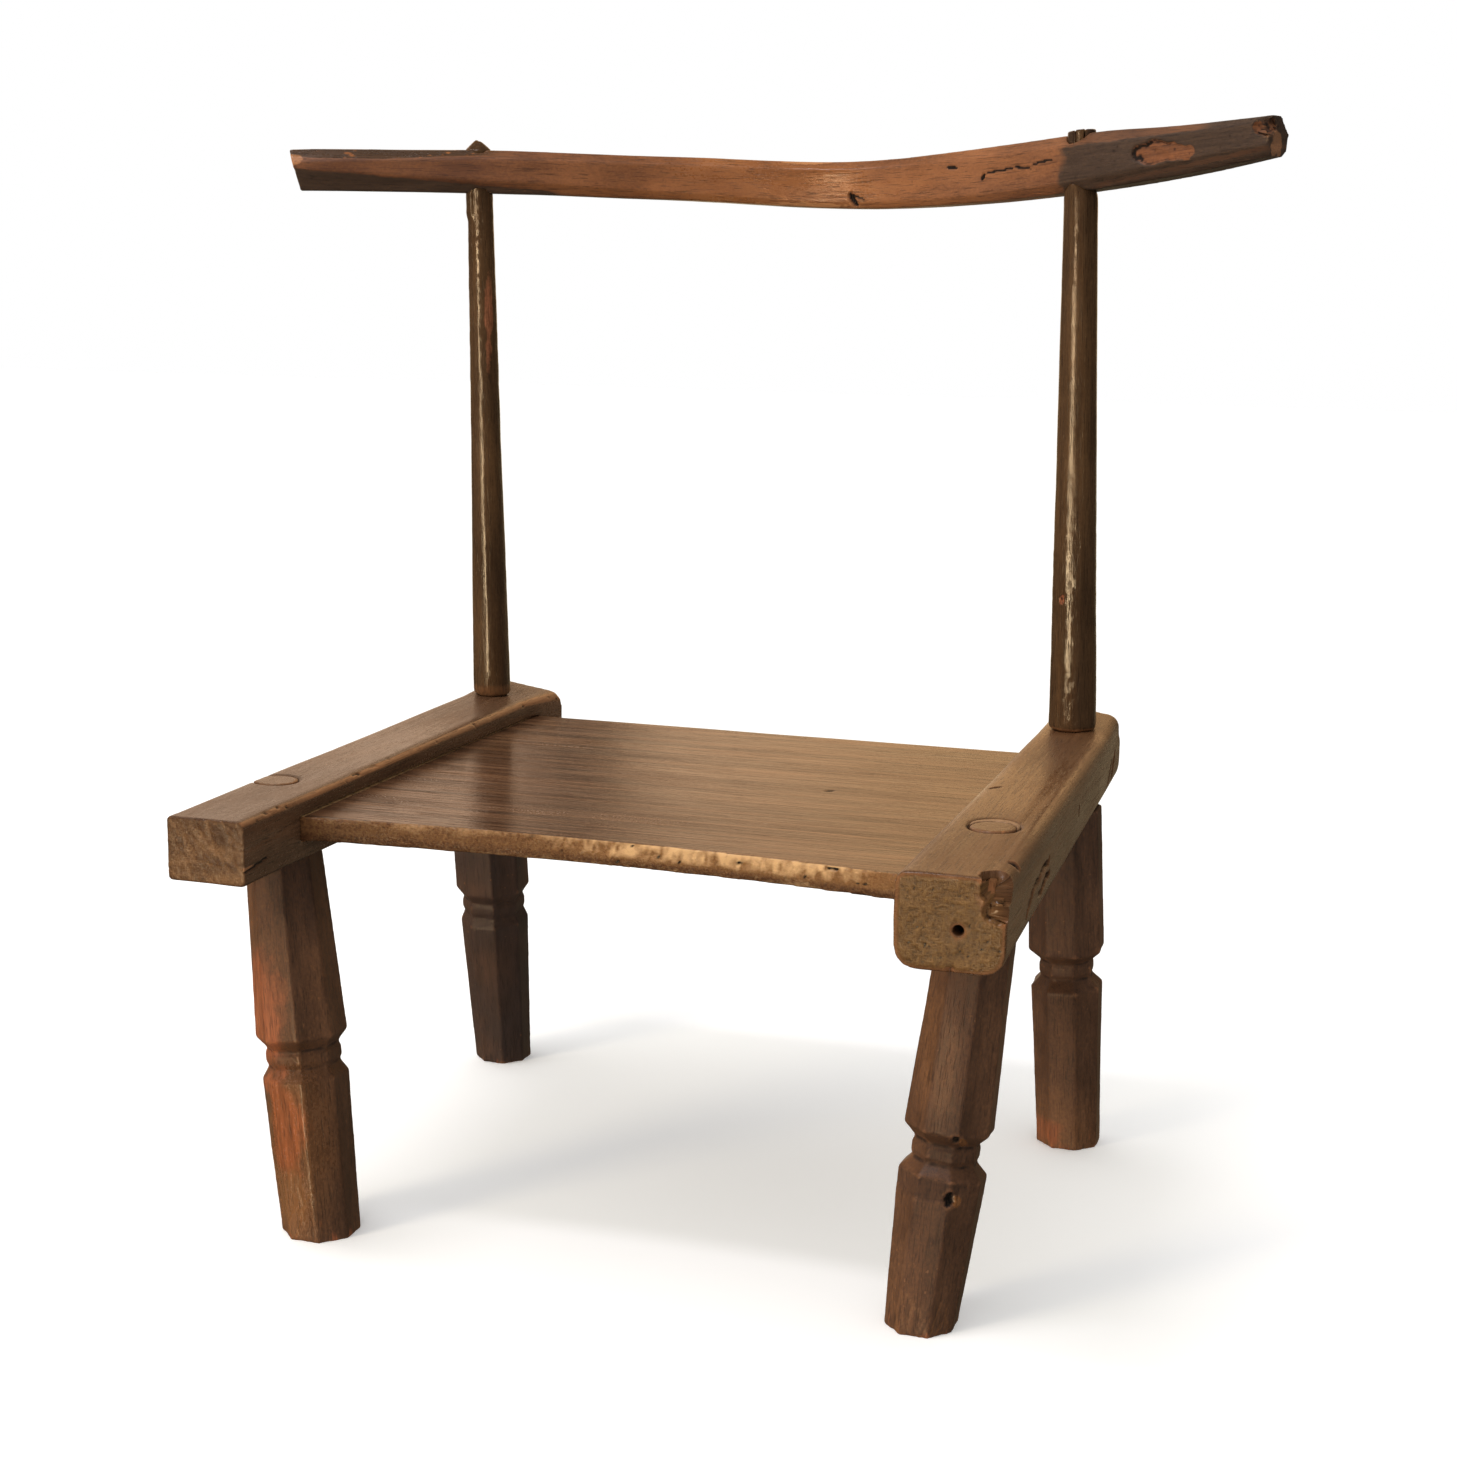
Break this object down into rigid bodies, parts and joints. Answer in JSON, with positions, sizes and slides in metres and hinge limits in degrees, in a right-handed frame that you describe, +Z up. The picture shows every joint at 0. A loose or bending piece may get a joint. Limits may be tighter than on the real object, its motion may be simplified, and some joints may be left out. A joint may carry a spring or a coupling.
{
  "type": "low wooden chair",
  "caption": "Low carved wooden chair: a flat seat board between two long side rails on grooved octagonal legs, with a bowed crest rail on slender back posts.",
  "frame": {"origin": "on the floor, under the middle of the chair's bounding box", "axes": "+Z up, +Y towards the back, +X towards the viewer's right when the chair is seen from the front"},
  "size_m": [0.7256, 0.5342, 0.7299],
  "materials": {
    "rail_wood": "satin, worn and waxed grey-brown",
    "seat_wood": "polished by use, fine grain across the seat",
    "leg_wood": "satin dark brown with red-orange worn patches",
    "post_wood": "glossy dark brown",
    "crest_wood": "satin red-brown, darker towards the ends",
    "wedge_wood": "satin light brown"
  },
  "bodies": {
    "root": {"left_side_rail": "rail_wood", "right_side_rail": "rail_wood", "seat_board": "seat_wood", "front_left_leg": "leg_wood", "front_right_leg": "leg_wood", "rear_left_leg": "leg_wood", "rear_right_leg": "leg_wood", "left_back_post": "post_wood", "right_back_post": "post_wood", "crest_rail": "crest_wood", "right_tenon_wedge": "wedge_wood", "right_post_wedge": "post_wood"}
  },
  "joints": []
}
